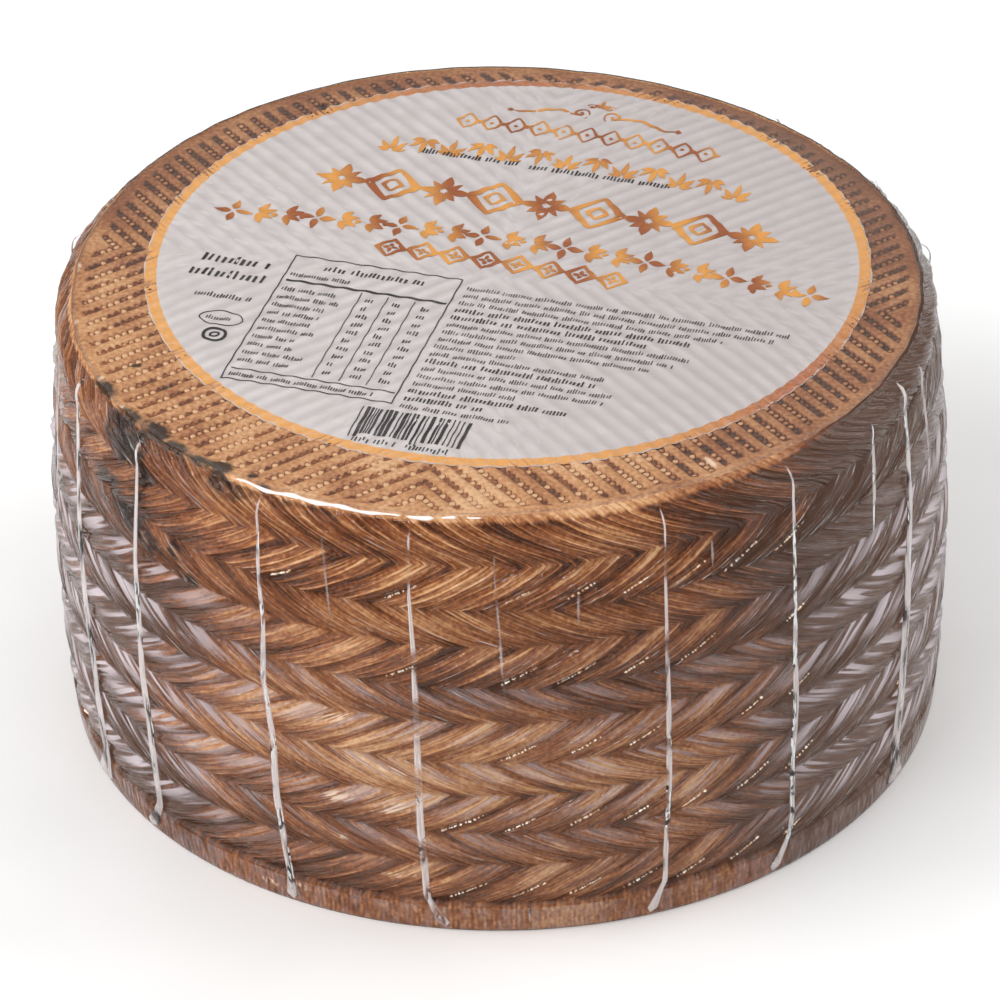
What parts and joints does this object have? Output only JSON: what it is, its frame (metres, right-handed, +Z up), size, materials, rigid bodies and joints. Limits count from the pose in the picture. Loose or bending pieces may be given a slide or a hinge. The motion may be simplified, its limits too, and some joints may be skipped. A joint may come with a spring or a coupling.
{
  "type": "wrapped wheel of pressed sheep's milk cheese",
  "caption": "Drum-shaped wheel of hard cheese with a plaited imprint on its side and ribbed faces, in clear shrink film with a round paper label on top.",
  "frame": {"origin": "middle of the wheel's base, on the surface that it stands on", "axes": "+Z up along the wheel's axis; -Y is the side that the picture shows in front, +X is to its right"},
  "size_m": [0.2048, 0.2054, 0.1069],
  "materials": {
    "rind": "caramel brown pressed rind under clear glossy shrink film",
    "label_paper": "matt off-white paper with a gold printed ring, under film"
  },
  "bodies": {
    "root": {"wheel": "rind", "label": "label_paper"}
  },
  "joints": []
}
